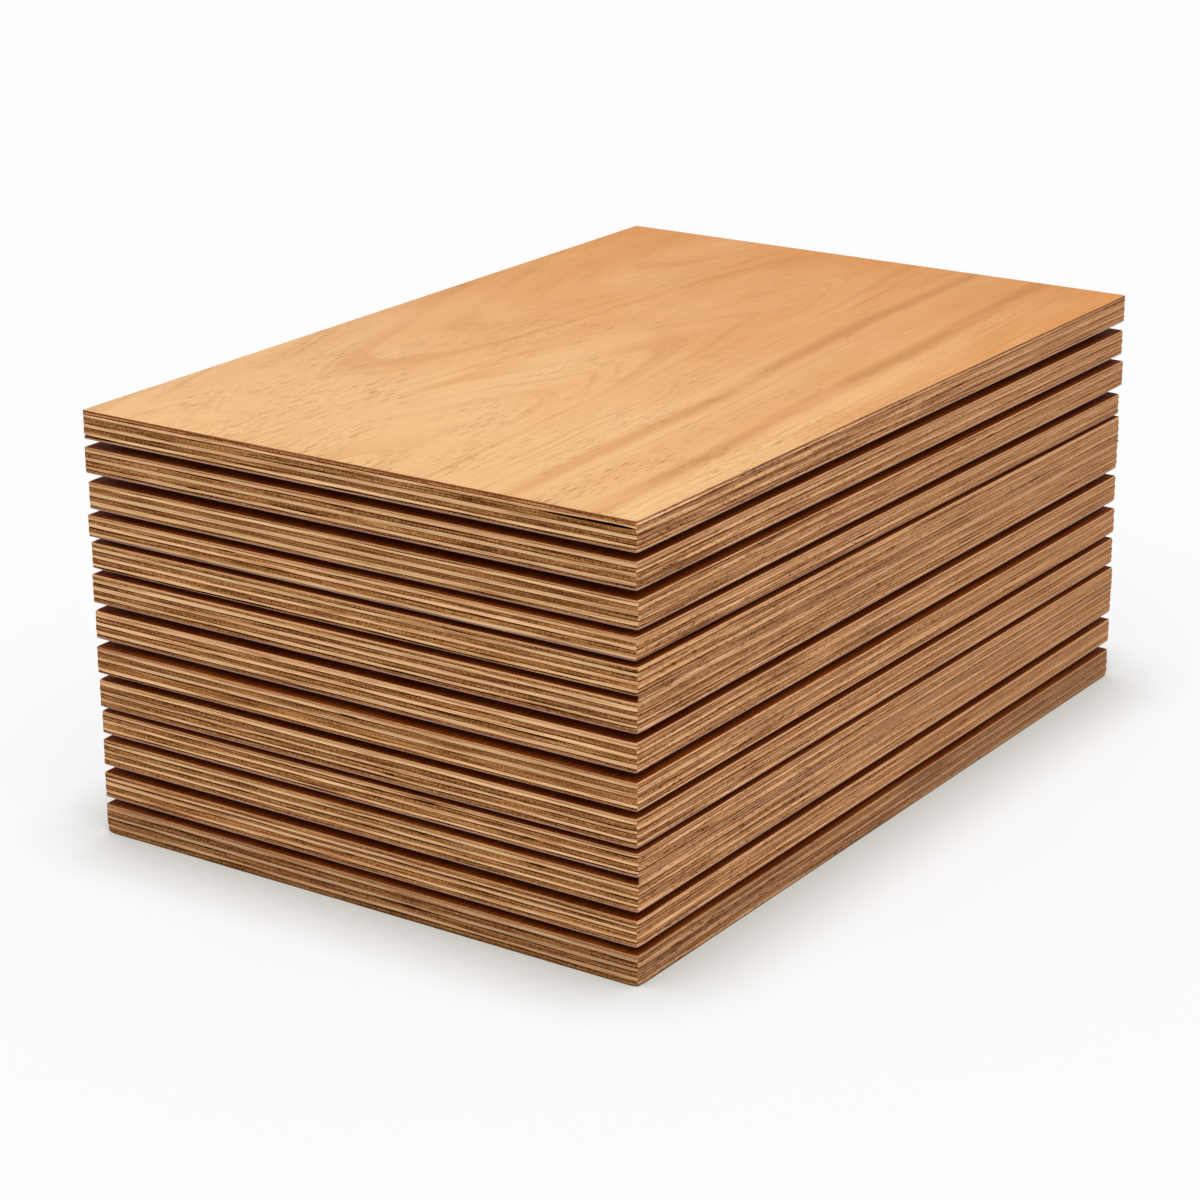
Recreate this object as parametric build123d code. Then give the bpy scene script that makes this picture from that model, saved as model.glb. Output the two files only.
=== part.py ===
from build123d import *

import os
from math import atan2, cos, degrees

# A neat stack of half-inch plywood panels, each kept off the one below by three thin spacer strips.
# Millimetres. X runs across the face grain, Y along it, Z up.
# The origin is the middle of the stack's footprint, on the floor.

# One panel: a 12 x 18 in cut of half-inch plywood
panel_width = 305.0  # X, across the face grain
panel_length = 457.0  # Y, along the face grain
panel_thickness = 12.7  # the usual panel, before its own share below
ply_count = 7  # plies in every panel; odd, so that both faces run the same way
face_ply_share = 0.6  # a face veneer is sanded thinner than an inner ply
end_grain_step = 0.25  # end grain stands proud of the long grain above and below it
corner_wear = 0.8  # worn upright corners, cut off by a small bevel
arris_chamfer = 0.4  # eased arrises of the two faces

# The stack, listed from the bottom panel to the top one
thickness_shares = (1.15, 0.97, 0.99, 0.85, 1.05, 1.01, 1.06, 1.08, 0.98, 0.81, 1.01, 0.97, 1.07)
side_shift = 0.6  # how far a panel may lie out of line with the stack
shift_x_shares = (0.3, -0.6, 0.5, 0.4, -0.4, 0.5, -1, 0.2, 0.3, -0.5, 0.4, -0.2, 0.6)
shift_y_shares = (-0.4, 0.5, -0.2, 0.3, 0.1, -1, 0.6, -0.3, 0.1, -0.6, 0.8, 0.2, -0.5)

# The air gap above each panel but the top one; the two lists have the same sum, so the top lies level
air_gap = 3.7
front_gap_shares = (0.96, 1.20, 0.92, 0.68, 1.06, 1.08, 1.20, 0.86, 0.80, 0.84, 1.18, 1.12)
back_gap_shares = (1.22, 1.30, 0.32, 0.81, 1.05, 1.14, 1.32, 0.43, 0.51, 1.30, 1.11, 1.39)

# Spacer strips, laid across the panels, out of sight behind their edges
strip_width = 22.0  # along Y
strip_setback = 30.0  # from a panel's long edges to the strip's ends
strip_end_distance = 60.0  # from a panel's short edges to the middle of an outer strip

# Edge strips, which close two of the gaps flush along the right long edge
edge_strips = {"lower": 3, "upper": 8}  # the panel that each one lies on, counted from the bottom
edge_strip_width = 12.0  # along X
edge_strip_mitre = 24.0  # how far each end is cut back at its inner side

# The top panel's front edge has come open along one glue line, beside the right corner
split_length = 46.0
split_height = 1.2
split_depth = 4.0
split_corner_distance = 2.0
split_peak_share = 0.8  # where along its length the split is widest
split_ply_count = 2  # plies above the glue line that has come open

front = -panel_length / 2
back = panel_length / 2


class Panel:
    """Where one panel of the stack lies: its heights are those of its lower face."""

    def __init__(self, thickness, x, y, front_z, back_z):
        self.thickness = thickness
        self.x = x
        self.y = y
        self.front_z = front_z
        self.rise = back_z - front_z
        self.angle = atan2(self.rise, panel_length)

    def bottom(self, y):
        return self.front_z + self.rise * (y - front) / panel_length

    def top(self, y):
        return self.bottom(y) + self.thickness / cos(self.angle)

    def location(self):
        return Location((self.x, self.y, self.bottom(self.y)), (degrees(self.angle), 0, 0))


def ply_stack(thickness):
    """Thicknesses of a panel's plies, bottom to top, with thin faces."""
    inner_count = ply_count - 2
    inner = thickness / (inner_count + 2 * face_ply_share)
    face = inner * face_ply_share
    return [face] + [inner] * inner_count + [face]


def ply_slab(grain_along_length, thickness, z):
    """One ply: its end grain reaches the full size, its long grain stops a step short."""
    if grain_along_length:
        width, length = panel_width - 2 * end_grain_step, panel_length
    else:
        width, length = panel_width, panel_length - 2 * end_grain_step
    outline = chamfer(Rectangle(width, length).vertices(), corner_wear)
    return extrude(Plane.XY.offset(z) * outline, thickness)


def panel_solid(thickness):
    """A panel with its middle at the origin and its lower face at zero: crossed plies, glued into one."""
    slabs = []
    z = 0
    for number, ply in enumerate(ply_stack(thickness)):
        slabs.append(ply_slab(number % 2 == 0, ply, z))
        z += ply
    solid = slabs[0].fuse(*slabs[1:])
    by_height = solid.faces().sort_by(Axis.Z)
    return chamfer(by_height[0].edges() + by_height[-1].edges(), arris_chamfer)


def edge_split(thickness):
    """The thin opening in the top panel's front edge, pointed at both ends."""
    z = thickness - sum(ply_stack(thickness)[-split_ply_count:])
    right = panel_width / 2 - split_corner_distance
    left = right - split_length
    peak = left + split_length * split_peak_share
    outline = Polyline(
        (left, front, z),
        (peak, front, z + split_height / 2),
        (right, front, z),
        (peak, front, z - split_height / 2),
        close=True,
    )
    return extrude(make_face(outline), split_depth, dir=(0, 1, 0), both=True)


def laid_panels():
    """Every panel's place, from the floor up."""
    panels = []
    front_z = 0
    back_z = 0
    for number, share in enumerate(thickness_shares):
        panel = Panel(
            panel_thickness * share,
            side_shift * shift_x_shares[number],
            side_shift * shift_y_shares[number],
            front_z,
            back_z,
        )
        panels.append(panel)
        if number < len(front_gap_shares):
            front_z = panel.top(front) + air_gap * front_gap_shares[number]
            back_z = panel.top(back) + air_gap * back_gap_shares[number]
    return panels


def gap_section(below, above, near, far):
    """The upright section of the air gap between two panels, from one place along them to another."""
    outline = Polyline(
        (0, near, below.top(near)),
        (0, far, below.top(far)),
        (0, far, above.bottom(far)),
        (0, near, above.bottom(near)),
        close=True,
    )
    return make_face(outline)


def spacer_strips(below, above):
    """Three strips that fill the gap between two panels, each touching both."""
    reach = panel_length / 2 - strip_end_distance
    half_length = panel_width / 2 - strip_setback
    strips = []
    for middle in (-reach, 0, reach):
        section = gap_section(below, above, middle - strip_width / 2, middle + strip_width / 2)
        strips.append(extrude(section, half_length, dir=(1, 0, 0), both=True))
    return Compound(strips)


def edge_strip(below, above):
    """A strip that fills the gap along the right edge, with ends that taper towards the corners."""
    near = front + max(below.y, above.y) + corner_wear
    far = back + min(below.y, above.y) - corner_wear
    right = panel_width / 2 - end_grain_step + min(below.x, above.x)
    left = right - edge_strip_width
    plan = Polyline(
        (right, near),
        (right, far),
        (left, far - edge_strip_mitre),
        (left, near + edge_strip_mitre),
        close=True,
    )
    column = extrude(make_face(plan), max(above.top(near), above.top(far)), dir=(0, 0, 1))
    layer = extrude(gap_section(below, above, near, far), right, dir=(1, 0, 0))
    return column & layer


os.makedirs("parts", exist_ok=True)
panels = laid_panels()
for number, panel in enumerate(panels, start=1):
    solid = panel_solid(panel.thickness)
    if number == len(panels):
        solid = solid - edge_split(panel.thickness)
    export_step(panel.location() * solid, f"parts/plywood_sheet_{number:02d}.step")

for number, (below, above) in enumerate(zip(panels, panels[1:]), start=1):
    export_step(spacer_strips(below, above), f"parts/spacer_strips_{number:02d}.step")

for name, number in edge_strips.items():
    export_step(edge_strip(panels[number - 1], panels[number]), f"parts/edge_strip_{name}.step")

print("stack height", round(panels[-1].top(0), 2))
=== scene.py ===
import math
import random

import bmesh
import bpy
from mathutils import Matrix, Vector, noise


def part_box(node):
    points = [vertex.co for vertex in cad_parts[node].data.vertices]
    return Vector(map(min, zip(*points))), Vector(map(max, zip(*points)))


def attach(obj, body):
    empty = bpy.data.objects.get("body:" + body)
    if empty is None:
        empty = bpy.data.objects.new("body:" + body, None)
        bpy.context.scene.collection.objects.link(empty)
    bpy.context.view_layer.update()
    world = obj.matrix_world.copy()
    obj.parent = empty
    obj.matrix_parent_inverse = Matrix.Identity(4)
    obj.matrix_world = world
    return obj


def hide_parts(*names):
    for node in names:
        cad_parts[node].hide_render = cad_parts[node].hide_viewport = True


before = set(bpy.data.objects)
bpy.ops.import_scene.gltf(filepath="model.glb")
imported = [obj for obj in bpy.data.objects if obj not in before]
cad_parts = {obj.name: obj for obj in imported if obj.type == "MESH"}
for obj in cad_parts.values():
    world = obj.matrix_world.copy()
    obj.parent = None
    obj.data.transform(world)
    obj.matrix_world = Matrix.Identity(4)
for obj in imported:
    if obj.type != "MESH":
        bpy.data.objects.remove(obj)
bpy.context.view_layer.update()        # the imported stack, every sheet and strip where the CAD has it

mm = 0.001


def nodesNamed(start):
    return sorted(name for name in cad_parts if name.startswith(start))


sheetNodes = nodesNamed("plywood_sheet")  # bottom to top
spacerNodes = nodesNamed("spacer_strips")
edgeNodes = nodesNamed("edge_strip")
print("frame:", len(sheetNodes), "sheets,", len(spacerNodes), "sets of spacers,",
      len(edgeNodes), "edge strips")


# Node helpers

def startMaterial(name):
    material = bpy.data.materials.new(name)
    material.use_nodes = True
    tree = material.node_tree
    tree.nodes.clear()
    output = tree.nodes.new("ShaderNodeOutputMaterial")
    shader = tree.nodes.new("ShaderNodeBsdfPrincipled")
    tree.links.new(shader.outputs["BSDF"], output.inputs["Surface"])
    return material, tree, shader


def finishMaterial(tree, shader, colour, look):
    tree.links.new(colour, shader.inputs["Base Color"])
    shader.inputs["Roughness"].default_value = look["roughness"]
    shader.inputs["Specular IOR Level"].default_value = look["shine"]


def addNode(tree, kind, sockets=None, **settings):
    node = tree.nodes.new("ShaderNode" + kind)
    for key, value in settings.items():
        setattr(node, key, value)
    for key, value in (sockets or {}).items():
        if isinstance(value, bpy.types.NodeSocket):
            tree.links.new(value, node.inputs[key])
        else:
            node.inputs[key].default_value = value
    return node


def calc(tree, operation, *values):
    return addNode(tree, "Math", dict(enumerate(values)), operation=operation).outputs[0]


def blend(tree, first, second, share):  # share is the first one's
    return calc(tree, "MULTIPLY_ADD", first, share, calc(tree, "MULTIPLY", second, 1 - share))


def swing(tree, pattern, span, base):  # a pattern moves base up and down, and its middle, 0.5, leaves it
    return calc(tree, "MULTIPLY_ADD", calc(tree, "SUBTRACT", pattern, 0.5), span, base)


def soften(tree, value, start, end):  # 0 before start, 1 after end
    sockets = {"Value": value, "From Min": start, "From Max": end}
    return addNode(tree, "MapRange", sockets, interpolation_type="SMOOTHSTEP").outputs["Result"]


def attribute(tree, name):
    return addNode(tree, "Attribute", attribute_name=name).outputs["Fac"]


def placeInMm(tree):
    coords = addNode(tree, "TexCoord").outputs["Object"]
    return addNode(tree, "VectorMath", {0: coords, "Scale": 1 / mm}, operation="SCALE").outputs[0]


def blotches(tree, place, lengths, seed, detail=2.0, roughness=0.5):  # lengths of a blotch, mm
    shares = [1 / length for length in lengths]
    scaled = addNode(tree, "VectorMath", {0: place, 1: shares}, operation="MULTIPLY").outputs[0]
    sockets = {"Vector": scaled, "W": seed, "Scale": 1.0, "Detail": detail, "Roughness": roughness}
    return addNode(tree, "TexNoise", sockets, noise_dimensions="4D").outputs["Fac"]


def ringNoise(tree, value, detail):
    sockets = {"W": value, "Scale": 1.0, "Detail": detail, "Roughness": 0.5}
    return addNode(tree, "TexNoise", sockets, noise_dimensions="1D").outputs["Fac"]


def linear(red, green, blue):  # a colour as a screen shows it, 0 to 255
    shares = [c / 255 for c in (red, green, blue)]
    return [c / 12.92 if c <= 0.04045 else ((c + 0.055) / 1.055) ** 2.4 for c in shares] + [1.0]


def ramp(tree, value, stops):
    node = addNode(tree, "ValToRGB", {"Fac": value})
    elements = node.color_ramp.elements
    elements[0].position, elements[0].color = stops[0]
    elements[-1].position, elements[-1].color = stops[-1]
    for position, colour in stops[1:-1]:
        elements.new(position).color = colour
    return node.outputs["Color"]


def mixColour(tree, factor, first, second):
    sockets = {0: factor, 6: first, 7: second}
    return addNode(tree, "Mix", sockets, data_type="RGBA").outputs[2]


def brighten(tree, colour, amount):  # amount 1 keeps the colour
    return addNode(tree, "HueSaturation", {"Color": colour, "Value": amount}).outputs["Color"]


def varyLight(tree, colour, pattern, light):  # light: the least, and how far it goes up
    least, span = light
    return brighten(tree, colour, calc(tree, "MULTIPLY_ADD", pattern, span, least))


def bump(tree, shader, height, depth):  # depth in mm
    node = addNode(tree, "Bump", {"Height": height, "Distance": depth * mm, "Strength": 1.0})
    tree.links.new(node.outputs["Normal"], shader.inputs["Normal"])


# Face veneer: flat-sawn figure, with the grain along y

veneerLook = {
    "pale": linear(241, 190, 135),
    "warm": linear(220, 146, 73),
    "ringDark": linear(196, 126, 62),
    "poreDark": linear(150, 82, 32),
    "palest": linear(248, 202, 142),
    "halfWidth": 152.5,  # mm, like all lengths here
    "halfLength": 228.5,
    "wander": 7.0,  # how far the grain strays across the sheet
    "strayPatch": (70, 160, 70),  # a patch's lengths along x, y and z, here and below
    # how far along y one growth ring lies at each place across the sheet: two crests and straight grain
    "ringCurve": [(-152.5, 165), (-129, 85), (-105, 15), (-95, 0), (-85, 10), (-72, 32), (-62, 95),
                  (-52, 185), (-42, 262), (-30, 305), (-6, 355), (8, 385), (22, 350), (31, 300), (38, 230),
                  (48, 120), (63, -160), (87, -640), (131, -1500), (152.5, -1930)],
    "ringSpacing": 52.0,
    "ripplePatch": (22, 90, 22),
    "sheetRings": 7.0,  # rings from one sheet's figure to the next one's
    "lateWood": (0.48, 0.72),  # where in its noise it starts and where it is full, here and below
    "ringShare": 0.3,  # how dark the late wood is
    "fineRings": 4.3,  # fine lines to a ring
    "fineWood": (0.52, 0.74),
    "fineShare": 0.2,
    "fadePatch": (35, 110, 35),  # rings come and go
    "fade": (0.3, 0.62),
    # dark streaks: x at the back, x at the front, half width, strength
    "streaks": [(63, 87, 8.0, 0.72), (104, 131, 9.0, 0.8), (84, 109, 24.0, 0.14)],
    "streakPatch": (9, 90, 9),
    "streakBreaks": (0.2, 0.55),
    "streakFade": 0.4,  # how much weaker the streaks are at the front
    "paleStreak": (117, 146, 11.0, 0.75),
    "warmthAndFrontLight": (0.33, 0.0001, 0.0024),  # in the middle, and for each mm along x and y: warmer and darker towards the back, partly the wood's own colour and partly painted light, the front painted paler as if lit
    "mottle": (1.15, 0.6),  # broad and small patches
    "broadPatch": (60, 210, 60),
    "smallPatch": (26, 75, 26),
    "fibrePatch": (0.9, 45, 0.9),
    "fibreLight": (0.92, 0.16),
    "porePatch": (0.5, 10.5, 0.5),
    "pores": (0.565, 0.665),
    "poreShare": 0.7,
    "crowdPatch": (18, 60, 18),  # pores lie in crowds
    "crowding": (0.35, 0.65),
    "crowdAtBack": 0.3,  # which are fainter at the back
    "fibreRelief": 0.4,
    "relief": 0.05,
    "roughness": 0.6,
    "shine": 0.12,
}


def ringHeight(tree, across):  # how far along y the rings are drawn out, at each place across the sheet
    half = veneerLook["halfWidth"]
    curvePoints = veneerLook["ringCurve"]
    lowest = min(h for _, h in curvePoints)
    highest = max(h for _, h in curvePoints)
    share = addNode(tree, "MapRange", {"Value": across, "From Min": -half, "From Max": half})
    curve = addNode(tree, "FloatCurve", {"Value": share.outputs["Result"]})
    points = curve.mapping.curves[0].points
    shares = [((x / half + 1) / 2, (h - lowest) / (highest - lowest)) for x, h in curvePoints]
    points[0].location = shares[0]
    points[1].location = shares[-1]
    for location in shares[1:-1]:
        points.new(*location)
    curve.mapping.update()
    return calc(tree, "MULTIPLY_ADD", curve.outputs["Value"], highest - lowest, lowest)


def growthRings(tree, place, seed, strayed, y):  # how dark the rings are
    look = veneerLook
    ring = calc(tree, "DIVIDE", calc(tree, "SUBTRACT", y, ringHeight(tree, strayed)), look["ringSpacing"])
    ripple = blotches(tree, place, look["ripplePatch"], seed, detail=3.0)
    ring = calc(tree, "ADD", ring, calc(tree, "MULTIPLY_ADD", seed, look["sheetRings"], ripple))
    broad = ringNoise(tree, ring, detail=1.0)
    fine = ringNoise(tree, calc(tree, "MULTIPLY", ring, look["fineRings"]), detail=2.0)
    lateWood = calc(tree, "MULTIPLY", soften(tree, broad, *look["lateWood"]), look["ringShare"])
    fineLines = calc(tree, "MULTIPLY", soften(tree, fine, *look["fineWood"]), look["fineShare"])
    fade = soften(tree, blotches(tree, place, look["fadePatch"], seed), *look["fade"])
    return calc(tree, "MULTIPLY", calc(tree, "ADD", lateWood, fineLines), fade)


def streak(tree, strayed, along, back, front, half, strength):
    middle = calc(tree, "MULTIPLY_ADD", along, float(front - back), float(back))
    off = calc(tree, "ABSOLUTE", calc(tree, "SUBTRACT", strayed, middle))
    return calc(tree, "MULTIPLY", soften(tree, off, half, 0.0), strength)


def makeVeneer():
    look = veneerLook
    material, tree, shader = startMaterial("faceVeneer")
    place = placeInMm(tree)
    seed = attribute(tree, "sheetSeed")
    parts = addNode(tree, "SeparateXYZ", {0: place})
    x, y = parts.outputs["X"], parts.outputs["Y"]
    strayed = swing(tree, blotches(tree, place, look["strayPatch"], seed), 2 * look["wander"], x)
    ends = {"Value": y, "From Min": look["halfLength"], "From Max": -look["halfLength"]}
    along = addNode(tree, "MapRange", ends).outputs["Result"]  # 0 at the back, 1 at the front

    dark = growthRings(tree, place, seed, strayed, y)
    breaks = soften(tree, blotches(tree, place, look["streakPatch"], seed), *look["streakBreaks"])
    breaks = calc(tree, "MULTIPLY", breaks, calc(tree, "MULTIPLY_ADD", along, -look["streakFade"], 1.0))
    for streakPlace in look["streaks"]:
        broken = calc(tree, "MULTIPLY", streak(tree, strayed, along, *streakPlace), breaks)
        dark = calc(tree, "MAXIMUM", dark, broken)

    broad = blotches(tree, place, look["broadPatch"], seed, detail=3.0)
    small = blotches(tree, place, look["smallPatch"], seed)
    # painted light and the wood's own colour: paler towards the front as if lit there, warmer towards the
    # back; the broad and small patches are the wood's own
    middle, slopeX, slopeY = look["warmthAndFrontLight"]
    warmthAndFrontLight = calc(tree, "MULTIPLY_ADD", y, slopeY, calc(tree, "MULTIPLY_ADD", x, slopeX, middle))
    for pattern, span in zip((broad, small), look["mottle"]):
        warmthAndFrontLight = swing(tree, pattern, span, warmthAndFrontLight)
    warmthAndFrontLight = addNode(tree, "Clamp", {"Value": warmthAndFrontLight}).outputs[0]
    colour = mixColour(tree, warmthAndFrontLight, look["pale"], look["warm"])
    paleFactor = calc(tree, "MULTIPLY", streak(tree, strayed, along, *look["paleStreak"]), along)
    colour = mixColour(tree, paleFactor, colour, look["palest"])
    colour = mixColour(tree, dark, colour, look["ringDark"])

    fibre = blotches(tree, place, look["fibrePatch"], seed, detail=3.0, roughness=0.6)
    colour = varyLight(tree, colour, fibre, look["fibreLight"])
    strokes = blotches(tree, place, look["porePatch"], seed, detail=1.0)
    crowding = soften(tree, blotches(tree, place, look["crowdPatch"], seed), *look["crowding"])
    fainter = calc(tree, "MULTIPLY_ADD", along, 1 - look["crowdAtBack"], look["crowdAtBack"])
    crowding = calc(tree, "MULTIPLY", crowding, fainter)
    pores = calc(tree, "MULTIPLY", soften(tree, strokes, *look["pores"]), crowding)
    colour = mixColour(tree, calc(tree, "MULTIPLY", pores, look["poreShare"]), colour, look["poreDark"])
    finishMaterial(tree, shader, colour, look)
    relief = calc(tree, "SUBTRACT", calc(tree, "MULTIPLY", fibre, look["fibreRelief"]), pores)
    bump(tree, shader, relief, look["relief"])
    return material


# Ply edges: long grain is pale and streaky, end grain brown and speckled, glue lines nearly black

edgeLook = {
    "longRamp": [(0.34, linear(168, 106, 58)), (0.46, linear(234, 180, 126)), (0.60, linear(250, 204, 154))],
    "longStreak": (42, 42, 0.8),  # lengths along x, y and z, mm, here and below
    "longPatch": (28, 28, 3.0),
    "longLight": (0.84, 0.36),
    "longRelief": 0.05,
    "endRamp": [(0.40, linear(86, 44, 14)), (0.50, linear(160, 102, 52)), (0.62, linear(208, 149, 93))],
    "endSpeckle": (1.0, 1.0, 1.1),
    "endBand": (45, 45, 0.75),
    "bandShare": 0.58,  # the bands' part beside the speckle
    "endRelief": 0.12,
    "glueRamp": [(0.46, linear(40, 12, 2)), (0.64, linear(112, 58, 18))],
    "glueBreak": (16, 16, 6),
    "glueBead": (1.9, 1.9, 0.9),
    "beadShare": 0.5,
    "glueFlat": 0.8,
    "glueRelief": 0.05,
    "toneRange": 0.12,  # how far the plies differ in light
    "hueRange": 0.004,  # and in hue
    "sideTint": linear(208, 150, 104),
    "sideShare": 0.45,  # how much the plies of the long sides lose of their contrast
    "farFlat": 0.3,  # and how much more at the back
    "sideDark": linear(104, 56, 24),
    "linePatch": (80, 80, 1.0),
    "lines": (0.51, 0.43),  # where in their noise they start and where they are full
    "sideLines": 0.68,  # how dark the fine lines of the long sides are
    "markPatch": (3.6, 3.6, 0.85),
    "marks": (0.55, 0.65),
    "sideMarks": 0.45,  # how dark the short marks are
    "farLines": 0.5,  # how much weaker both are at the back
    # painted light: the long sides are made paler, and painted shade darkens them towards the back
    "sideLight": 1.3,
    "farShade": 0.22,
    # painted highlight: a pale lavender line along each sheet's lower rim
    "lowerHighlightTint": linear(178, 144, 130),
    "lowerHighlightShare": 0.75,
    # painted highlight where the upper arris catches light
    "upperHighlightTint": linear(226, 172, 124),
    # the dark line under the top veneer, and painted shade along the bottom sheet's lowest band by the floor
    "arrisLineAndShadeTint": linear(104, 64, 32),
    "arrisShare": 0.75,
    "roughness": 0.72,
    "shine": 0.06,
}


def edgeStart(name):
    material, tree, shader = startMaterial(name)
    return material, tree, shader, placeInMm(tree), attribute(tree, "sheetSeed")


def edgeFinish(tree, shader, colour, place, seed, flatten=1.0):
    look = edgeLook
    onLong = attribute(tree, "longEdge")
    tone = calc(tree, "MULTIPLY_ADD", attribute(tree, "plyTone"), look["toneRange"], 1.0)
    hue = calc(tree, "MULTIPLY_ADD", attribute(tree, "plyHue"), look["hueRange"], 0.5)
    colour = addNode(tree, "HueSaturation", {"Color": colour, "Value": tone, "Hue": hue}).outputs["Color"]

    along = addNode(tree, "SeparateXYZ", {0: place}).outputs["Y"]
    reach = veneerLook["halfLength"]
    far = soften(tree, along, -reach, reach)  # 0 at the front, 1 at the back
    flat = calc(tree, "MULTIPLY_ADD", far, look["farFlat"], look["sideShare"])
    flat = calc(tree, "MULTIPLY", calc(tree, "MULTIPLY", flat, flatten), onLong)
    colour = mixColour(tree, flat, colour, look["sideTint"])
    lines = soften(tree, blotches(tree, place, look["linePatch"], seed, roughness=0.6), *look["lines"])
    marks = soften(tree, blotches(tree, place, look["markPatch"], seed, detail=1.0), *look["marks"])
    marks = calc(tree, "MULTIPLY", marks, look["sideMarks"])
    dark = calc(tree, "MULTIPLY_ADD", lines, look["sideLines"], marks)
    dark = calc(tree, "MULTIPLY", dark, calc(tree, "MULTIPLY_ADD", far, -look["farLines"], 1.0))
    colour = mixColour(tree, calc(tree, "MULTIPLY", dark, onLong), colour, look["sideDark"])
    # painted light on the long sides, with painted shade towards the back
    light = calc(tree, "MULTIPLY_ADD", far, -look["farShade"], look["sideLight"] - 1)
    colour = brighten(tree, colour, calc(tree, "MULTIPLY_ADD", onLong, light, 1.0))

    # painted highlight along the lower rim of every sheet but the bottom one
    lowerHighlightFactor = calc(tree, "MULTIPLY", attribute(tree, "lowerRimHighlight"), look["lowerHighlightShare"])
    colour = mixColour(tree, lowerHighlightFactor, colour, look["lowerHighlightTint"])
    # painted highlight along the upper rim of every sheet but the top one
    colour = mixColour(tree, attribute(tree, "upperRimHighlight"), colour, look["upperHighlightTint"])
    # the dark line under the top veneer, and painted shade where the bottom sheet meets the floor
    arrisFactor = calc(tree, "MULTIPLY", attribute(tree, "darkArrisAndFloorShade"), look["arrisShare"])
    colour = mixColour(tree, arrisFactor, colour, look["arrisLineAndShadeTint"])
    colour = brighten(tree, colour, calc(tree, "ADD", attribute(tree, "sheetShade"), 1.0))
    finishMaterial(tree, shader, colour, look)


def makeLongGrain():
    look = edgeLook
    material, tree, shader, place, seed = edgeStart("plyLongGrain")
    streaks = blotches(tree, place, look["longStreak"], seed, detail=3.0, roughness=0.65)
    patches = blotches(tree, place, look["longPatch"], seed)
    colour = varyLight(tree, ramp(tree, streaks, look["longRamp"]), patches, look["longLight"])
    edgeFinish(tree, shader, colour, place, seed)
    bump(tree, shader, streaks, look["longRelief"])
    return material


def makeEndGrain():
    look = edgeLook
    material, tree, shader, place, seed = edgeStart("plyEndGrain")
    speckle = blotches(tree, place, look["endSpeckle"], seed, roughness=0.65)
    bands = blotches(tree, place, look["endBand"], seed, roughness=0.6)
    colour = ramp(tree, blend(tree, bands, speckle, look["bandShare"]), look["endRamp"])
    edgeFinish(tree, shader, colour, place, seed)
    bump(tree, shader, speckle, look["endRelief"])
    return material


def makeGlueLine():
    look = edgeLook
    material, tree, shader, place, seed = edgeStart("plyGlueLine")
    breaks = blotches(tree, place, look["glueBreak"], seed, detail=3.0, roughness=0.6)
    beads = blotches(tree, place, look["glueBead"], seed, detail=1.0)
    colour = ramp(tree, blend(tree, beads, breaks, look["beadShare"]), look["glueRamp"])
    edgeFinish(tree, shader, colour, place, seed, flatten=look["glueFlat"])
    bump(tree, shader, breaks, look["glueRelief"])
    return material


innerShadeLook = {
    # painted shade: the faces between the sheets get dark red colours for the shade in the gaps
    "ramp": [(0.36, linear(104, 34, 5)), (0.64, linear(140, 72, 22))],
    "fibrePatch": (1.1, 40, 1.1),  # mm
    "stainPatch": (25, 70, 25),
    "fibreShare": 0.6,
    "relief": 0.08,
    "roughness": 0.75,
    "shine": 0.06,
}


def makeShadedInnerFace():  # the rough faces that lie between two sheets, painted dark and red for the shade in the gaps
    look = innerShadeLook
    material, tree, shader = startMaterial("shadedInnerFace")
    place = placeInMm(tree)
    seed = attribute(tree, "sheetSeed")
    fibre = blotches(tree, place, look["fibrePatch"], seed, detail=3.0, roughness=0.6)
    stain = blotches(tree, place, look["stainPatch"], seed)
    colour = ramp(tree, blend(tree, fibre, stain, look["fibreShare"]), look["ramp"])
    finishMaterial(tree, shader, colour, look)
    bump(tree, shader, fibre, look["relief"])
    return material


spacerLook = {
    "ramp": [(0.32, linear(160, 112, 70)), (0.66, linear(214, 170, 122))],
    "fibrePatch": (60, 1.2, 1.2),  # mm
    "fibreSeed": 3.0,
    "sawPatch": (1.6, 30, 30),
    "sawSeed": 8.0,
    "sawLight": (0.9, 0.2),
    "relief": 0.1,
    "roughness": 0.8,
    "shine": 0.5,
}


def makeSpacerWood():
    look = spacerLook
    material, tree, shader = startMaterial("spacerWood")
    place = placeInMm(tree)
    fibre = blotches(tree, place, look["fibrePatch"], look["fibreSeed"], detail=4.0, roughness=0.6)
    saw = blotches(tree, place, look["sawPatch"], look["sawSeed"], detail=1.0)
    colour = varyLight(tree, ramp(tree, fibre, look["ramp"]), saw, look["sawLight"])
    finishMaterial(tree, shader, colour, look)
    bump(tree, shader, calc(tree, "ADD", fibre, saw), look["relief"])
    return material


faceVeneer = makeVeneer()
plyLongGrain = makeLongGrain()
plyEndGrain = makeEndGrain()
plyGlueLine = makeGlueLine()
spacerWood = makeSpacerWood()
shadedInnerFace = makeShadedInnerFace()
edgeMaterials = [faceVeneer, plyLongGrain, plyEndGrain, plyGlueLine, shadedInnerFace]
veneerSlot, longSlot, endSlot, glueSlot, innerSlot = range(len(edgeMaterials))
print("materials:", ", ".join(m.name for m in edgeMaterials + [spacerWood]))


# Layered pieces: an outline that is raised ring by ring

meshLook = {
    "creaseAngle": 35.0,  # degrees
    "uncut": 5,  # sides of no more segments than this stay whole
    "nearSide": 1.0,  # mm, how near to a side a point counts as on it
}


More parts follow.
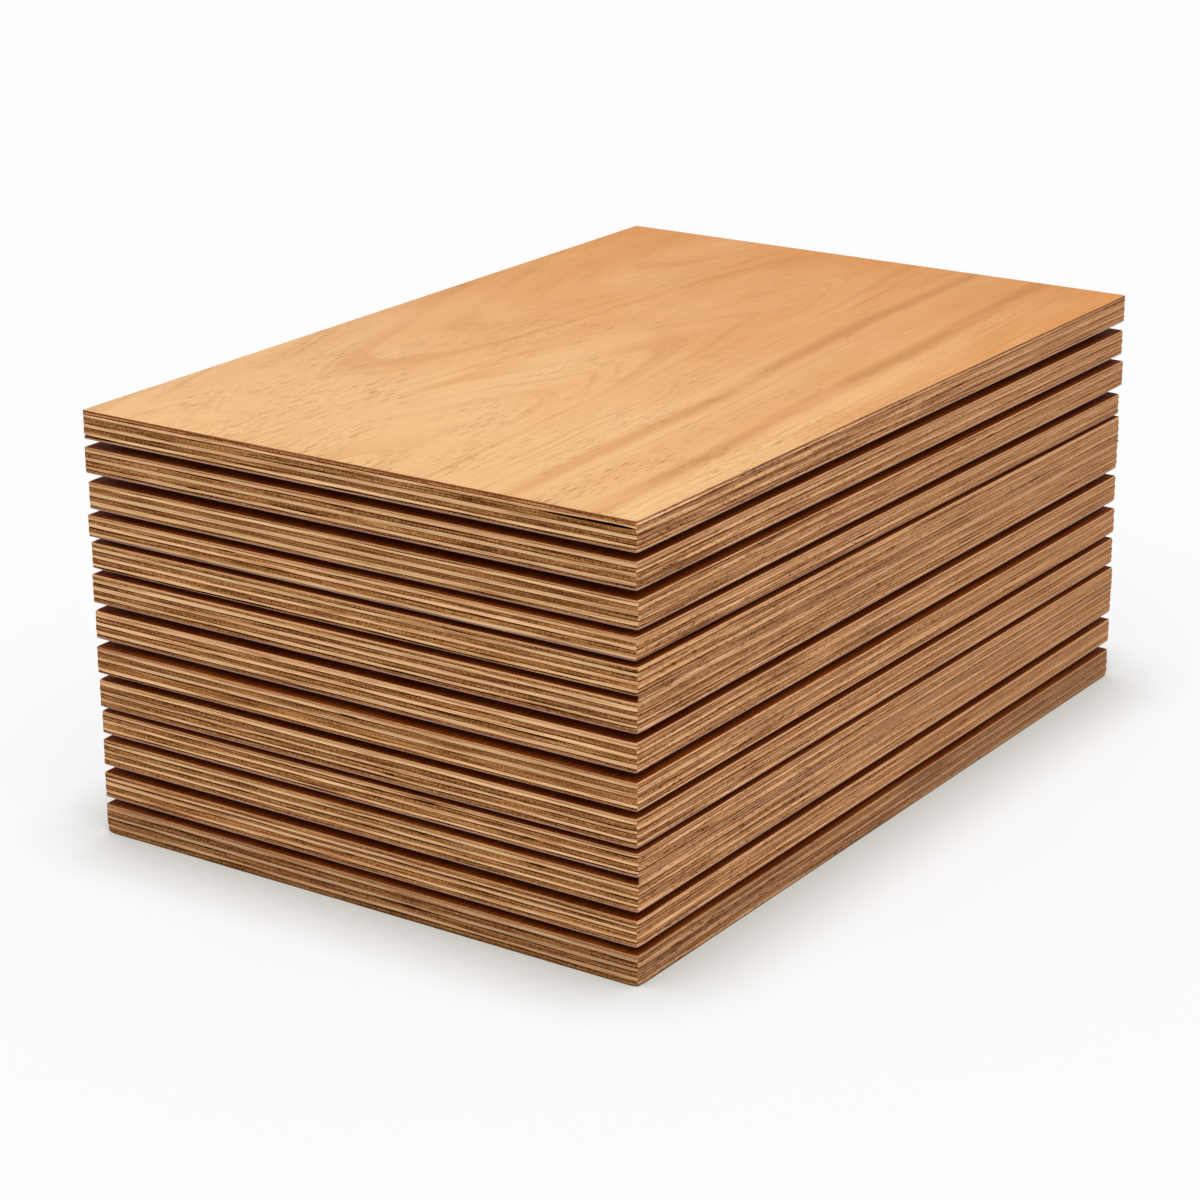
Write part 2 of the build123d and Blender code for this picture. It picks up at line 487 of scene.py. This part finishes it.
def raiseRing(bm, ring):
    made = bmesh.ops.extrude_edge_only(bm, edges=ring)["geom"]
    verts = {part for part in made if isinstance(part, bmesh.types.BMVert)}
    edges = [part for part in made if isinstance(part, bmesh.types.BMEdge) and verts.issuperset(part.verts)]
    faces = [part for part in made if isinstance(part, bmesh.types.BMFace)]
    return verts, edges, faces


def subdivideSides(bm, segment):
    # only the outline stays, and both caps are filled later
    bmesh.ops.delete(bm, geom=bm.faces[:], context="FACES_ONLY")
    longest = meshLook["uncut"] * segment
    for axis in (0, 1):
        sides = [e for e in bm.edges if abs(e.verts[0].co[axis] - e.verts[1].co[axis]) > longest]
        if sides:
            bmesh.ops.subdivide_edges(bm, edges=sides, cuts=round(sides[0].calc_length() / segment) - 1)


def finishPiece(bm, name, node):
    bmesh.ops.recalc_face_normals(bm, faces=bm.faces)
    mesh = bpy.data.meshes.new(name)
    bm.to_mesh(mesh)
    bm.free()
    for material in edgeMaterials:
        mesh.materials.append(material)
    mesh.shade_smooth()
    mesh.set_sharp_from_angle(angle=math.radians(meshLook["creaseAngle"]))
    piece = bpy.data.objects.new(name, mesh)
    bpy.context.scene.collection.objects.link(piece)
    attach(piece, "root")
    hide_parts(node)


sheetLook = {
    # thickness of each ply, bottom to top, in hundredths of its sheet, from the bottom sheet up
    "plies": [(18, 13, 18, 13, 19, 14, 8), (17, 13, 18, 15, 9, 12, 16), (20, 12, 16, 13, 17, 14, 10),
              (13, 14, 22, 16, 19, 12, 7), (19, 13, 17, 14, 19, 13, 8), (9, 14, 24, 15, 18, 14, 7),
              (14, 16, 17, 16, 18, 14, 7), (17, 13, 15, 15, 13, 15, 14), (8, 15, 17, 14, 17, 15, 17),
              (7, 17, 22, 18, 16, 15, 7), (14, 17, 18, 17, 17, 13, 7), (14, 16, 18, 16, 17, 15, 6),
              (11, 13, 16, 15, 20, 12, 14)],
    "seed": 100,
    "longGrainStep": 0.25,  # all in mm: long grain wears back behind the end grain
    "cornerRadius": 1.2,
    "cornerSegments": 3,
    "arris": 0.4,
    "arrisTurn": 0.3,  # the share of the arris at which it turns
    "segment": 3.0,
    "roughEnd": 0.10,
    "roughLong": 0.05,
    "roughNoise": (7.0, 3.1, 17),  # length of a patch, and steps in the noise to the next ply and sheet
    "plyWave": 0.28,  # how far a glue line wanders up and down
    "waveNoise": (55.0, 5.7, 31),
    "glueHeight": 0.46,
    "glueDepth": 0.4,
    "glueStrength": (0.5, 1.3),  # glue lines differ
    "glueSwell": (0.75, 0.9, 0.12),  # usual share of the height along a line, its swing and the least share
    "swellNoise": (24.0, 2.3, 13),
    "cornerWear": (0.2, 1.1),  # bruised corners
    "wearSwing": (0.6, 0.8, 3.0),  # least share of the wear, its swing, and the height of one bruise
    "wearReach": 6.0,
    "floorWear": 1.5,  # the corners that stand on the floor
    "floorReach": 5.0,
    "floorShade": -0.3,  # the bottom sheet is darker
    "topTone": 3.2,  # the ply under the top veneer is paler
    "topHue": -1.6,  # and redder
    "lowerRimHighlight": 0.8,  # height of the painted highlight along the lower rim
    "upperArris": 0.8,  # height of the painted upper highlight, and of the dark line under the top veneer
    "rimSlack": 0.008,
    "upperRimHighlight": (0.3, 1.0),  # how strong the painted highlight on the upper rims is
    "coreGaps": 12,  # short gaps between core plies, for each sheet
    "longSideGaps": 4,  # on a long side, for each one on a short side
    "gapLength": (5, 16),
    "gapHeight": (0.2, 0.55),
    "gapDepth": (0.8, 2.2),
    "gapTaper": (2, 3),  # how soon a gap has its full height and depth
    "facing": 0.9,  # how squarely a place looks out of the side that a gap is on
}
splitLook = {
    "length": 46.0, "height": 1.2, "depth": 4.0, "cornerDistance": 2.0,  # mm
    "peakShare": 0.8,  # where along its length it is widest
    "pliesAbove": 2,
    "heightCurve": 0.45,  # under 1, so that it opens early
    "depthTaper": 4,
}
faceLayers = ("plyTone", "plyHue", "longEdge", "lowerRimHighlight", "upperRimHighlight", "darkArrisAndFloorShade", "sheetSeed", "sheetShade")


def sheetLay(node):  # where a sheet lies: its plan, its lower face at the front and back, and its thickness
    low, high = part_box(node)
    places = [v.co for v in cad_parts[node].data.vertices]
    near = meshLook["nearSide"] * mm
    front = [co.z for co in places if co.y < low.y + near]
    back = [co.z for co in places if co.y > high.y - near]
    thickness = max(front) - min(front)
    return {"low": low, "high": high, "front": min(front), "back": min(back), "thickness": thickness}


def plyHeights(thickness, plies):  # heights of the boundaries between plies, mm
    heights = [0.0]
    for ply in plies:
        heights.append(heights[-1] + ply * thickness / sum(plies))
    return heights


def sheetRings(heights):
    # bottom to top: height, the boundary that it follows and on which side, ply, inset, and what lies below
    look = sheetLook
    arris = look["arris"]
    turn = look["arrisTurn"] * arris
    top = heights[-1]
    last = len(heights) - 2
    rings = [dict(height=turn, inset=turn, ply=0, band="ply")]
    for ply in range(last + 1):
        if ply == 0:
            rings.append(dict(height=arris, inset=0, ply=ply, band="ply"))
            if heights[1] > look["lowerRimHighlight"] + look["glueHeight"]:
                rings.append(dict(height=look["lowerRimHighlight"], inset=0, ply=ply, band="ply"))
        else:
            rings.append(dict(height=heights[ply], boundary=ply, side=1, ply=ply, inset=0, band="glue"))
        if ply == last:
            if top - heights[ply] > look["upperArris"] + look["glueHeight"]:
                rings.append(dict(height=top - look["upperArris"], inset=0, ply=ply, band="ply"))
            rings.append(dict(height=top - arris, inset=0, ply=ply, band="ply"))
        else:
            line = dict(height=heights[ply + 1], boundary=ply + 1, ply=ply, inset=0)
            rings.append(dict(line, side=-1, band="ply"))
            rings.append(dict(line, side=-1, glue=True, band="glue"))
            rings.append(dict(line, side=1, glue=True, band="glue"))
    rings.append(dict(height=top - turn, inset=turn, ply=last, band="ply"))
    rings.append(dict(height=top, inset=arris, ply=last, band="ply"))
    return rings


def drawGaps(lay, boundaries, draw):
    ways = [(1, 0, 0), (-1, 0, 0)] * sheetLook["longSideGaps"] + [(0, -1, 0), (0, 1, 0)]
    gaps = {boundary: [] for boundary in range(boundaries + 1)}
    for _ in range(sheetLook["coreGaps"]):
        side = Vector(draw.choice(ways))
        along = 1 if side.x else 0
        gaps[draw.randint(2, boundaries - 1)].append({
            "side": side,
            "along": along,
            "middle": draw.uniform(lay["low"][along], lay["high"][along]) / mm,
            "half": draw.uniform(*sheetLook["gapLength"]) / 2,
            "height": draw.uniform(*sheetLook["gapHeight"]),
            "depth": draw.uniform(*sheetLook["gapDepth"]),
        })
    return gaps


def makeSheet(node, number):
    look = sheetLook
    draw = random.Random(look["seed"] + number)
    lay = sheetLay(node)
    low, high = lay["low"], lay["high"]
    middle, size = (low + high) / 2, high - low
    heights = plyHeights(lay["thickness"] / mm, look["plies"][number - 1])
    plyCount = len(heights) - 1
    gaps = drawGaps(lay, plyCount - 1, draw)
    tones = [draw.uniform(-1, 1) for _ in range(plyCount)]
    hues = [draw.uniform(-1, 1) for _ in range(plyCount)]
    strengths = [draw.uniform(*look["glueStrength"]) for _ in range(plyCount + 1)]
    wears = {(sx, sy): draw.uniform(*look["cornerWear"]) for sx in (-1, 1) for sy in (-1, 1)}
    upperHighlightStrength = draw.uniform(*look["upperRimHighlight"])
    bottomSheet, topSheet = number == 1, number == len(sheetNodes)
    if topSheet:
        tones[-1], hues[-1] = look["topTone"], look["topHue"]
    split = plyCount - splitLook["pliesAbove"] if topSheet else None  # the boundary that has come open
    splitEnd = high.x / mm - splitLook["cornerDistance"]
    splitStart = splitEnd - splitLook["length"]
    splitPeak = splitStart + splitLook["length"] * splitLook["peakShare"]

    bm = bmesh.new()
    bmesh.ops.create_grid(bm, x_segments=1, y_segments=1, size=0.5)
    bmesh.ops.scale(bm, vec=(size.x, size.y, 1), verts=bm.verts)
    bmesh.ops.translate(bm, vec=(middle.x, middle.y, 0), verts=bm.verts)
    bmesh.ops.bevel(bm, geom=bm.verts[:], offset=look["cornerRadius"] * mm, offset_type="OFFSET",
                    affect="VERTICES", segments=look["cornerSegments"], profile=0.5, material=-1)
    subdivideSides(bm, look["segment"] * mm)
    outline = bm.verts.layers.float_vector.new("outline")
    outward = bm.verts.layers.float_vector.new("outward")
    layers = {name: bm.faces.layers.float.new(name) for name in faceLayers}
    reach = size / 2 - Vector((1, 1, 0)) * look["cornerRadius"] * mm
    for vert in bm.verts:
        off = vert.co - middle
        inner = Vector((max(-reach.x, min(reach.x, off.x)), max(-reach.y, min(reach.y, off.y)), off.z))
        vert[outline] = vert.co
        vert[outward] = (off - inner).normalized()

    def uneven(place, key, layer):
        length, layerStep, sheetStep = look[key]
        return noise.noise(place / (length * mm) + Vector((0, 0, layerStep * layer + sheetStep * number)))

    def openings(place, out, boundary):  # extra half height and depth of a glue line, mm
        half, depth = 0.0, 0.0
        heightTaper, depthTaper = look["gapTaper"]
        for gap in gaps.get(boundary, []):
            share = 1 - abs(place[gap["along"]] / mm - gap["middle"]) / gap["half"]
            if share > 0 and out.dot(gap["side"]) > look["facing"]:
                half += gap["height"] / 2 * min(1, heightTaper * share)
                depth += gap["depth"] * min(1, depthTaper * share)
        x = place.x / mm
        if boundary == split and out.y < -look["facing"] and splitStart < x < splitEnd:
            share = min((x - splitStart) / (splitPeak - splitStart), (splitEnd - x) / (splitEnd - splitPeak))
            half += splitLook["height"] / 2 * share ** splitLook["heightCurve"]
            depth += splitLook["depth"] * min(1, splitLook["depthTaper"] * share)
        return half, depth

    def cornerInset(off, z):  # how far a corner is bruised, mm
        side = (1 if off.x > 0 else -1, 1 if off.y > 0 else -1)
        far = (size.x / 2 - abs(off.x) + size.y / 2 - abs(off.y)) / (look["wearReach"] * mm)
        if far >= 1:
            return 0.0
        least, span, bruise = look["wearSwing"]
        spot = Vector((z / bruise, number, side[0] + 2 * side[1]))
        wear = wears[side] * (least + span * abs(noise.noise(spot)))
        if bottomSheet and z < look["floorReach"]:
            wear = max(wear, look["floorWear"] * (1 - z / look["floorReach"]))
        return wear * (1 - far) ** 2

    def placeVert(vert, ring):
        place, out = Vector(vert[outline]), Vector(vert[outward])
        ply, boundary = ring["ply"], ring.get("boundary")
        endShare = out.y ** 2 if ply % 2 == 0 else out.x ** 2  # even plies run along y
        rough = look["roughLong"] + (look["roughEnd"] - look["roughLong"]) * endShare
        inset = ring["inset"] + look["longGrainStep"] * (1 - endShare)
        inset += rough * (uneven(place, "roughNoise", ply) + 0.5)  # mostly inwards
        z = ring["height"]
        if boundary is not None:
            z += look["plyWave"] * uneven(place, "waveNoise", boundary)
            usual, span, least = look["glueSwell"]
            swell = max(least, usual + span * uneven(place, "swellNoise", boundary))
            half, depth = openings(place, out, boundary)
            z += ring["side"] * (swell * strengths[boundary] * look["glueHeight"] / 2 + half)
            if ring.get("glue"):
                inset = look["longGrainStep"] + look["glueDepth"] + depth
        inset += cornerInset(place - middle, z)
        spot = place - out * max(0.0, inset) * mm
        rise = lay["front"] + (lay["back"] - lay["front"]) * (place.y - low.y) / size.y
        vert.co = Vector((spot.x, spot.y, rise + z * mm))

    def paintFace(face, ring):
        out = sum((Vector(vert[outward]) for vert in face.verts), Vector())
        onLong = abs(out.x) > abs(out.y)
        ply = ring["ply"]
        atBottom = ring["height"] < look["lowerRimHighlight"] + look["rimSlack"]
        atTop = ring["height"] > heights[-1] - look["upperArris"] + look["rimSlack"]
        values = {
            "plyTone": tones[ply],
            "plyHue": hues[ply],
            "longEdge": onLong,
            # painted highlight on the lowest band
            "lowerRimHighlight": atBottom and not bottomSheet,
            "upperRimHighlight": upperHighlightStrength if atTop and not topSheet else 0,
            # painted shade at the floor on the bottom sheet, the dark line under the veneer on the top one
            "darkArrisAndFloorShade": (atTop and topSheet) or (atBottom and bottomSheet),
            "sheetSeed": number,
            "sheetShade": look["floorShade"] if bottomSheet else 0,
        }
        for name, value in values.items():
            face[layers[name]] = float(value)
        if ring["band"] == "glue":
            face.material_index = glueSlot
        else:
            face.material_index = endSlot if (ply % 2 == 0) != onLong else longSlot

    ring = bm.edges[:]
    bottom = bmesh.ops.edgeloop_fill(bm, edges=ring)["faces"]
    start = dict(height=0.0, inset=look["arris"], ply=0, band="ply")
    for vert in bm.verts:
        placeVert(vert, start)
    for level in sheetRings(heights):
        verts, ring, faces = raiseRing(bm, ring)
        for vert in verts:
            placeVert(vert, level)
        for face in faces:
            paintFace(face, level)
    top = bmesh.ops.edgeloop_fill(bm, edges=ring)["faces"]
    for face in bottom + top:
        face.material_index = innerSlot
        face[layers["sheetSeed"]] = float(number)
    if topSheet:
        top[0].material_index = veneerSlot
    for name in ("outline", "outward"):
        bm.verts.layers.float_vector.remove(bm.verts.layers.float_vector[name])
    finishPiece(bm, f"sheet_{number:02d}", node)


for number, node in enumerate(sheetNodes, start=1):
    makeSheet(node, number)
print("sheets:", len(sheetNodes))


edgeStripLook = {
    "segment": 3.0,  # all in mm
    "glueHeight": 0.4,
    "glueDepth": 0.4,
    "glueSwell": (0.7, 0.6, 20.0),  # usual share of the height along the line, its swing and its length
    "swellRow": 4,  # the row of noise that it takes
    "wave": (0.2, 40.0),  # how far the glue line wanders, and its length
    "waveRow": 0,
    "rough": (0.08, 7.0),  # depth and length of the rough spots
    "roughRows": 9,  # rows from the lower side to the upper one
    "seed": 20.0,
    "weld": 0.001,
}


def makeEdgeStrip(node, number):  # two plies that close a gap along the right-hand edge
    look = edgeStripLook
    low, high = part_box(node)
    places = [v.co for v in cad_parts[node].data.vertices]
    nearSide = meshLook["nearSide"] * mm
    inner = [co.y for co in places if co.x < low.x + nearSide]
    near = [co.z for co in places if co.y < low.y + nearSide]
    far = [co.z for co in places if co.y > high.y - nearSide]
    corners = {
        (1, -1): (high.x, low.y),
        (1, 1): (high.x, high.y),
        (-1, 1): (low.x, max(inner)),
        (-1, -1): (low.x, min(inner)),
    }

    bm = bmesh.new()
    bmesh.ops.create_grid(bm, x_segments=1, y_segments=1, size=1)
    for vert in bm.verts:
        x, y = corners[(round(vert.co.x), round(vert.co.y))]
        vert.co = (x, y, 0)
    subdivideSides(bm, look["segment"] * mm)
    longEdge = bm.faces.layers.float.new("longEdge")
    sheetSeed = bm.faces.layers.float.new("sheetSeed")
    outline = bm.verts.layers.float_vector.new("outline")
    for vert in bm.verts:
        vert[outline] = vert.co

    def uneven(y, length, row):
        return noise.noise(Vector((y / (length * mm), row, number)))

    def placeVert(vert, share, side, inset):
        x, y, _ = vert[outline]
        along = (y - low.y) / (high.y - low.y)
        bottom = min(near) + (min(far) - min(near)) * along
        top = max(near) + (max(far) - max(near)) * along
        waveHeight, waveLength = look["wave"]
        wave = waveHeight * uneven(y, waveLength, look["waveRow"]) if 0 < share < 1 else 0.0
        roughDepth, roughLength = look["rough"]
        rough = roughDepth * (uneven(y, roughLength, share * look["roughRows"]) + 0.5)  # mostly inwards
        usual, span, swellLength = look["glueSwell"]
        glue = look["glueHeight"] * (usual + span * uneven(y, swellLength, look["swellRow"]))
        z = bottom + (top - bottom) * share + (wave + side * glue / 2) * mm
        outer = 1.0 if x > high.x - nearSide else 0.0
        vert.co = Vector((x - (max(0.0, rough) + inset) * outer * mm, y, z))

    ring = bm.edges[:]
    bottom = bmesh.ops.edgeloop_fill(bm, edges=ring)["faces"]
    for vert in bm.verts:
        placeVert(vert, 0.0, 0, 0.0)
    levels = [  # share of the height, side of the glue line, inset, and what lies below
        (0.5, -1, 0.0, longSlot),
        (0.5, -1, look["glueDepth"], glueSlot),
        (0.5, 1, look["glueDepth"], glueSlot),
        (0.5, 1, 0.0, glueSlot),
        (1.0, 0, 0.0, endSlot),
    ]
    for share, side, inset, slot in levels:
        verts, ring, faces = raiseRing(bm, ring)
        for vert in verts:
            placeVert(vert, share, side, inset)
        for face in faces:
            face.material_index = slot
            face[longEdge] = 1.0
            face[sheetSeed] = look["seed"] + number
    top = bmesh.ops.edgeloop_fill(bm, edges=ring)["faces"]
    for face in bottom + top:
        face.material_index = innerSlot
        face[sheetSeed] = look["seed"] + number
    bm.verts.layers.float_vector.remove(bm.verts.layers.float_vector["outline"])
    bmesh.ops.remove_doubles(bm, verts=bm.verts, dist=look["weld"] * mm)  # inner sides have no groove
    finishPiece(bm, "closing_strip_" + node.split("_")[-1], node)


for number, node in enumerate(edgeNodes, start=1):
    makeEdgeStrip(node, number)
print("edge strips:", len(edgeNodes))

for node in spacerNodes:
    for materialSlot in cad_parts[node].material_slots:
        materialSlot.material = spacerWood
print("spacers:", len(spacerNodes))


# Floor, light and camera

stageLook = {
    "floorHalf": 8.0,  # metres
    "cells": 4,  # along each side of the floor
    "seenWhite": 0.985,
    "bounce": 0.7,  # the floor's grey where only light falls on it
    "glow": 0.72,
    "worldLight": 0.5,
    "contactReach": 55.0,  # mm
    "contactStart": 0.5,
    "contactShade": (0.62, 0.6, 0.56),  # the floor's tint right beside the stack
}


def seenDirectly(tree):  # camera, mirror and glass rays
    path = addNode(tree, "LightPath")
    seen = calc(tree, "MAXIMUM", path.outputs["Is Camera Ray"], path.outputs["Is Glossy Ray"])
    return calc(tree, "MAXIMUM", seen, path.outputs["Is Transmission Ray"])


def makeFloor():
    look = stageLook
    bm = bmesh.new()
    bmesh.ops.create_grid(bm, x_segments=look["cells"], y_segments=look["cells"], size=look["floorHalf"])
    mesh = bpy.data.meshes.new("floor")
    bm.to_mesh(mesh)
    bm.free()
    floor = bpy.data.objects.new("floor", mesh)
    bpy.context.scene.collection.objects.link(floor)
    material = bpy.data.materials.new("paleFloor")
    material.use_nodes = True
    tree = material.node_tree
    tree.nodes.clear()
    seen = seenDirectly(tree)
    white = [look["seenWhite"]] * 3 + [1.0]
    grey = [look["bounce"]] * 3 + [1.0]
    shaded = [share * look["seenWhite"] for share in look["contactShade"]] + [1.0]
    near = addNode(tree, "AmbientOcclusion", {"Distance": look["contactReach"] * mm}).outputs["AO"]
    clear = addNode(tree, "MapRange", {"Value": near, "From Min": look["contactStart"]}).outputs["Result"]
    seenFloor = mixColour(tree, clear, shaded, white)
    matt = addNode(tree, "BsdfDiffuse", {"Color": mixColour(tree, seen, grey, seenFloor)})
    glow = addNode(tree, "Emission", {"Color": seenFloor, "Strength": 1.0})
    share = calc(tree, "MULTIPLY", seen, look["glow"])
    both = addNode(tree, "MixShader", {0: share, 1: matt.outputs[0], 2: glow.outputs[0]})
    addNode(tree, "OutputMaterial", {"Surface": both.outputs[0]})
    mesh.materials.append(material)


def makeWorld():
    world = bpy.data.worlds.new("studio")
    bpy.context.scene.world = world
    world.use_nodes = True
    tree = world.node_tree
    tree.nodes.clear()
    seen = seenDirectly(tree)
    strength = calc(tree, "MULTIPLY_ADD", seen, 1 - stageLook["worldLight"], stageLook["worldLight"])
    sky = addNode(tree, "Background", {"Color": (1, 1, 1, 1), "Strength": strength})
    addNode(tree, "OutputWorld", {"Surface": sky.outputs[0]})


lampLook = {"towards": (0.25, -0.35, 0.9), "spread": 60.0, "strength": 1.75}  # spread in degrees


def makeLamp():
    light = bpy.data.lights.new("softSun", "SUN")
    light.angle = math.radians(lampLook["spread"])
    light.energy = lampLook["strength"]
    lamp = bpy.data.objects.new("softSun", light)
    lamp.rotation_euler = (-Vector(lampLook["towards"])).to_track_quat("-Z", "Y").to_euler()
    lamp.location = lampLook["towards"]
    bpy.context.scene.collection.objects.link(lamp)


cameraLook = {
    "place": (836.99, -1256.25, 606.64),  # mm
    "yaw": -34.371,  # degrees, to the right of +y
    "pitch": 19.242,  # down
    "roll": -0.356,  # about the line of sight
    "focal": 3197.65,  # pixels
    "image": 1200.0,
    "sensor": 36.0,  # mm
    "clipStart": 10.0,  # mm
}


def makeCamera():
    look = cameraLook
    yaw, pitch, roll = (math.radians(look[key]) for key in ("yaw", "pitch", "roll"))
    sight = Vector((math.sin(yaw) * math.cos(pitch), math.cos(yaw) * math.cos(pitch), -math.sin(pitch)))
    level = Vector((math.cos(yaw), -math.sin(yaw), 0))
    upright = level.cross(sight)
    right = math.cos(roll) * level + math.sin(roll) * upright
    up = math.cos(roll) * upright - math.sin(roll) * level
    data = bpy.data.cameras.new("camera")
    data.sensor_width = look["sensor"]
    data.lens = look["focal"] / look["image"] * look["sensor"]
    data.clip_start = look["clipStart"] * mm
    camera = bpy.data.objects.new("camera", data)
    turn = Matrix((right, up, -sight)).transposed()
    camera.matrix_world = Matrix.Translation(Vector(look["place"]) * mm) @ turn.to_4x4()
    bpy.context.scene.collection.objects.link(camera)
    bpy.context.scene.camera = camera


makeFloor()
makeWorld()
makeLamp()
makeCamera()
bpy.context.scene.view_settings.view_transform = "Standard"
print("stage: floor, world, soft sun, camera")
